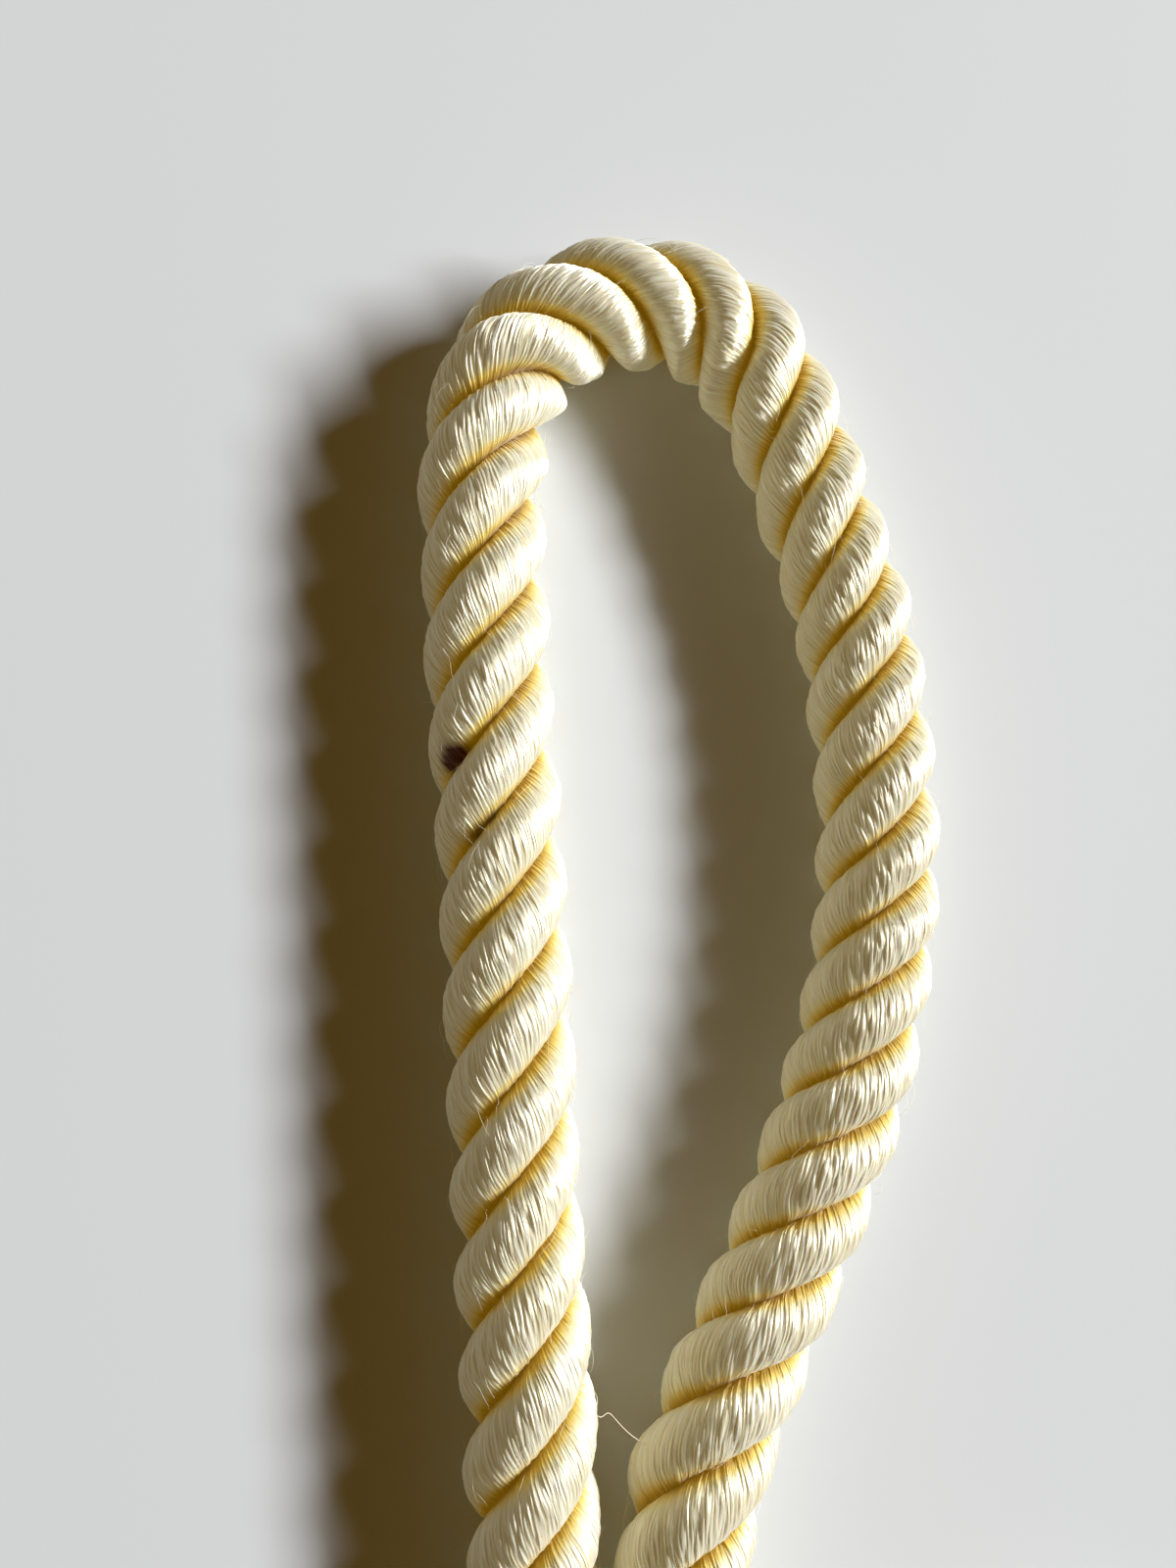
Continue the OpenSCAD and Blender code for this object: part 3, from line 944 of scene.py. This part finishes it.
@dataclass(frozen=True)
class Fibres:
    """Loose filaments: fuzz along the bight, tufts at the cut ends and one drawn-out loop."""

    route: Route
    points: int = 9
    thickness: float = 0.016
    # the fuzz's filaments, and the tufts' at each end
    fuzz_count: int = 900
    tuft_count: int = 110
    # distance from the middle line of the fuzz's roots and of the outermost tuft
    root_r: float = 4.85
    tuft_r: float = 4.4
    # a tuft's thickness against the fuzz's, and the drawn-out filament's radius
    tuft_scale: float = 2.4
    stray_r: float = 0.026

    def _place(self, s: Array, r: Array, a: Array) -> Array:
        """Lines in the cord's own coordinates, a row each, held just above the floor."""
        flat = (value.reshape(-1, 1) for value in (r, a))
        placed = self.route.place(s.reshape(-1), *flat).reshape(*s.shape, 3)
        placed[..., 2] = np.maximum(placed[..., 2], 0.05)
        return placed

    def _thin(self, count: int) -> Array:
        """Radii that taper towards both ends."""
        taper = 0.35 + 0.65 * np.sin(np.linspace(0.15, math.pi - 0.15, self.points))
        return np.tile(self.thickness * taper, (count, 1))

    def fuzz(self) -> Piece:
        """Filaments that leave the bight's surface: most come back to it, some stay free."""
        count, rng = self.fuzz_count, np.random.default_rng(7)
        t = np.linspace(0.0, 1.0, self.points)[None, :]
        s0, end = self.route.first_leg, self.route.bight_length
        base = rng.uniform(s0, s0 + end, (count, 1))
        a = rng.uniform(0.0, TAU, (count, 1))
        size = rng.uniform(0.8, 3.2, (count, 1))
        slant = rng.normal(0.0, 0.6, (count, 1))
        rise = rng.uniform(0.1, 0.75, (count, 1)) ** 1.6
        free = rng.uniform(0.0, 1.0, (count, 1)) < 0.3
        lift = np.where(free, 1.3 * rise * t ** 1.5, 4 * rise * t * (1 - t))
        curl = 0.12 * np.sin(TAU * t * rng.uniform(0.6, 1.8, (count, 1)) + a)
        lines = self._place(base + size * np.cos(slant) * t, self.root_r + lift,
                            a + size * np.sin(slant) * t / 5.0 + curl * t / 5.0)
        return tubes("fuzz", lines, self._thin(count))

    def tufts(self) -> Piece:
        """Cut filaments that stand out of both ends of the cord and splay a little."""
        count, rng = self.tuft_count, np.random.default_rng(17)
        t = np.linspace(0.0, 1.0, self.points)[None, :]
        r0 = self.tuft_r * np.sqrt(rng.uniform(0.02, 1.0, (2 * count, 1)))
        a0 = rng.uniform(0.0, TAU, (2 * count, 1))
        size = rng.uniform(0.6, 1.9, (2 * count, 1))
        splay = rng.uniform(0.0, 0.35, (2 * count, 1))
        route = self.route
        ends = route.centre(np.array([0.0, route.cord_length]))
        away = np.stack([-route.ahead[0], route.ahead[-1]])
        pick = np.repeat([0, 1], count)
        side = np.stack([np.cos(a0), np.zeros_like(a0), np.sin(a0)], axis=-1)
        lines = (ends[pick][:, None] + side * (r0 + splay * size * t ** 2)[..., None]
                 + away[pick][:, None] * (size * t - 0.4)[..., None])
        return tubes("end_tufts", lines, self.tuft_scale * self._thin(2 * count), 4)

    def stray(self) -> Piece:
        """One filament drawn out from leg to leg near the neck, with a slack loop."""
        places = np.array(STRAY) + [0.0, self.route.shift_y, 0.0]
        t = np.linspace(0.0, len(places) - 1.0, 41)
        line = table_at(t, np.arange(len(places)), places)
        inner = blur(line, np.hanning(9) / np.hanning(9).sum())
        line = np.vstack([line[:1], inner, line[-1:]])
        return tubes("stray_filament", line[None], np.full((1, len(line)), self.stray_r), 5)


@dataclass(frozen=True)
class Studio:
    """The floor, the lamp, the world and the camera."""

    shift_y: float
    # the camera's place before the route's shift, and its directions
    position: Triple = (-27.45, 0.0, 98.055)
    right: Triple = (0.97535, -0.07762, 0.20655)
    up: Triple = (0.05453, 0.99184, 0.11521)
    back: Triple = (-0.21381, -0.10111, 0.97163)
    floor_half: float = 1500.0
    floor_drop: float = 0.05
    floor_colour: Triple = (0.64, 0.662, 0.685)
    # the key lamp, in degrees, metres and watts
    key_azimuth: float = 9.0
    key_elevation: float = 29.0
    key_distance: float = 4.0
    key_size: Pair = (2.4, 0.6)
    key_power: float = 338.0
    key_colour: Triple = (0.965, 0.985, 1.0)
    key_aim: Triple = (-0.003, 0.105, 0.0)
    world_colour: Triple = (1.0, 0.54, 0.06)
    world_strength: float = 0.098

    def camera(self) -> None:
        """The camera, 100 mm above the bight, with a lens as wide as its 36 mm sensor."""
        data = bpy.data.cameras.new("camera")
        data.sensor_fit, data.sensor_width, data.lens = "HORIZONTAL", 36.0, 36.0
        data.clip_start, data.clip_end = 0.01, 20.0
        camera = into_scene("camera", data)
        turn = Matrix((self.right, self.up, self.back)).transposed().to_4x4()
        x, y, z = self.position
        place = Matrix.Translation([value * MM for value in (x, y + self.shift_y, z)])
        camera.matrix_world = place @ turn
        bpy.context.scene.camera = camera

    def floor(self) -> None:
        """A plain pale floor under the cord."""
        half, drop = self.floor_half, [0.0, 0.0, self.floor_drop]
        points = np.array([(-half, -half, 0), (half, -half, 0), (half, half, 0),
                           (-half, half, 0)], dtype=float) - drop
        floor = build("floor", points, [np.array([[0, 1, 2, 3]])])
        shade = Shade("floor")
        shade.set(Base_Color=(*self.floor_colour, 1.0), Roughness=0.8, Specular_IOR_Level=0.1)
        floor.data.materials.append(shade.material)

    def lamp(self) -> None:
        """The key lamp, a wide shallow one that faces the bight from the right."""
        data = bpy.data.lights.new("key", "AREA")
        data.shape, data.energy, data.color = "RECTANGLE", self.key_power, self.key_colour
        data.size, data.size_y = self.key_size
        lamp = into_scene("key", data)
        a, e = math.radians(self.key_azimuth), math.radians(self.key_elevation)
        away = np.array([math.cos(e) * math.cos(a), math.cos(e) * math.sin(a), math.sin(e)])
        across = unit(np.cross([0.0, 0.0, 1.0], away))
        turn = Matrix((tuple(across), tuple(np.cross(away, across)), tuple(away)))
        place = np.array(self.key_aim) + self.key_distance * away
        lamp.matrix_world = Matrix.Translation(tuple(place)) @ turn.transposed().to_4x4()

    def world(self) -> None:
        """A soft warm light from all round."""
        world = bpy.data.worlds.new("world")
        world.use_nodes = True
        background = world.node_tree.nodes["Background"]
        background.inputs["Color"].default_value = (*self.world_colour, 1.0)
        background.inputs["Strength"].default_value = self.world_strength
        bpy.context.scene.world = world
        bpy.context.scene.view_settings.view_transform = "Standard"


def main() -> None:
    """Builds every piece in order and reports it."""
    route = Route()
    studio = Studio(route.shift_y)
    studio.camera()
    cord = LaidCord(route)
    satin = SatinFinish().material()
    cotton = CottonFinish("filler_cotton", (0.90, 0.87, 0.78), (0.70, 0.64, 0.50)).material()
    thread = CottonFinish("whipping_thread", (0.93, 0.91, 0.84), (0.80, 0.76, 0.64),
                          roughness=0.6).material()
    tape = CottonFinish("tie_tape", (0.84, 0.80, 0.70), (0.72, 0.67, 0.55)).material()
    hair = CottonFinish("loose_filament", (0.95, 0.91, 0.76), (0.86, 0.80, 0.60),
                        roughness=0.4).material()
    log.info("route: %.2f mm", route.length_of(route.points))
    bight_start = route.first_leg - NECK_REACH
    bight_end = route.first_leg + route.bight_length + NECK_REACH
    bight_middle = (bight_start + bight_end) / 2
    stretches = (("run_a", 0.0, bight_start, cord.hank_step),
                 ("bight_a", bight_start, bight_middle, cord.bight_step),
                 ("bight_b", bight_middle, bight_end, cord.bight_step),
                 ("run_b", bight_end, route.cord_length, cord.hank_step))
    for strand in range(cord.strands):
        for part, start, end, step in stretches:
            piece = cord.cover(strand, part, start, end, step)
            dress(piece, satin, Slot.SATIN, f"strand_{strand + 1}")
    fillers = dress(cord.fillers(), cotton, Slot.SATIN)
    whipping, tie, fibres = Whipping(route), TapeTie(route), Fibres(route)
    bound = []
    for side, x in (("left", route.inner_end_x), ("right", route.outer_end_x)):
        piece = whipping.piece(f"whipping_thread_{side}", x)
        bound.append(dress(piece, thread, Slot.THREAD, f"whipping_{side}"))
    bound += [dress(tie.tape(), tape, Slot.TAPE, "hank_tie"),
              dress(tie.stitches(), thread, Slot.THREAD),
              dress(fibres.fuzz(), hair, Slot.SATIN),
              dress(fibres.tufts(), cotton, Slot.SATIN),
              dress(fibres.stray(), hair, Slot.SATIN)]
    studio.floor()
    studio.lamp()
    studio.world()


if __name__ == "__main__":
    logging.basicConfig(level=logging.INFO, format="%(name)s: %(message)s")
    main()
